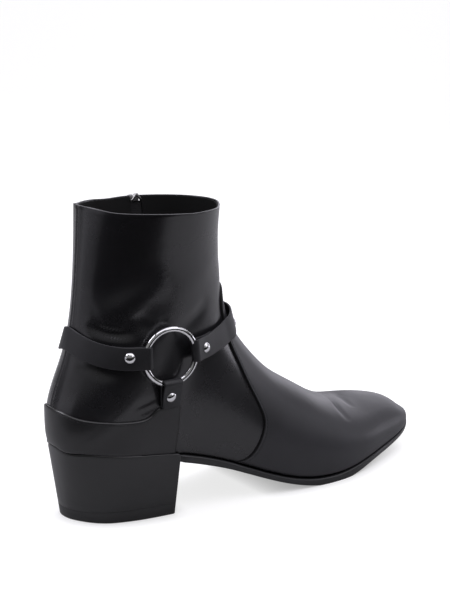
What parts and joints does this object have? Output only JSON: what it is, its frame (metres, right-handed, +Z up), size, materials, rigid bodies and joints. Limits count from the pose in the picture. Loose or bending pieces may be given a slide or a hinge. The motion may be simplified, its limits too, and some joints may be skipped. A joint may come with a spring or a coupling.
{
  "type": "harness ankle boot",
  "caption": "Black leather ankle boot with a stacked heel, a strap harness on a round metal ring and an inner zip, worn on a right foot.",
  "frame": {"origin": "on the floor, under the middle of the boot's box", "axes": "+X towards the toe, +Y towards the inner side of a right foot, +Z up"},
  "size_m": [0.3006, 0.0968, 0.1994],
  "materials": {
    "upper_leather": "polished smooth grain",
    "strap_leather": "satin",
    "lining_leather": "matt",
    "sole_leather": "inked edge, satin",
    "heel_block": "inked stack, satin",
    "rubber": "matt",
    "chrome": "polished",
    "zip_metal": "nickel"
  },
  "bodies": {
    "boot": {"upper": "upper_leather", "vamp": "upper_leather", "counter": "upper_leather", "strap_back": "strap_leather", "strap_front": "strap_leather", "ring_tab": "strap_leather", "ring": "chrome", "stud_back": "chrome", "stud_front": "chrome", "stud_tab": "chrome", "stud_instep": "chrome", "zip_chain": "zip_metal", "zip_slider": "zip_metal", "insole": "lining_leather", "outsole": "sole_leather", "heel": "heel_block", "top_lift": "rubber"},
    "pull": {"zip_pull": "zip_metal"}
  },
  "joints": [
    {"name": "pull_swing", "type": "hinge", "parent": "boot", "child": "pull", "pos_m": [-0.0636, 0.03954, 0.1934], "axis": [1, 0, 0], "range_deg": [0, 150]}
  ]
}
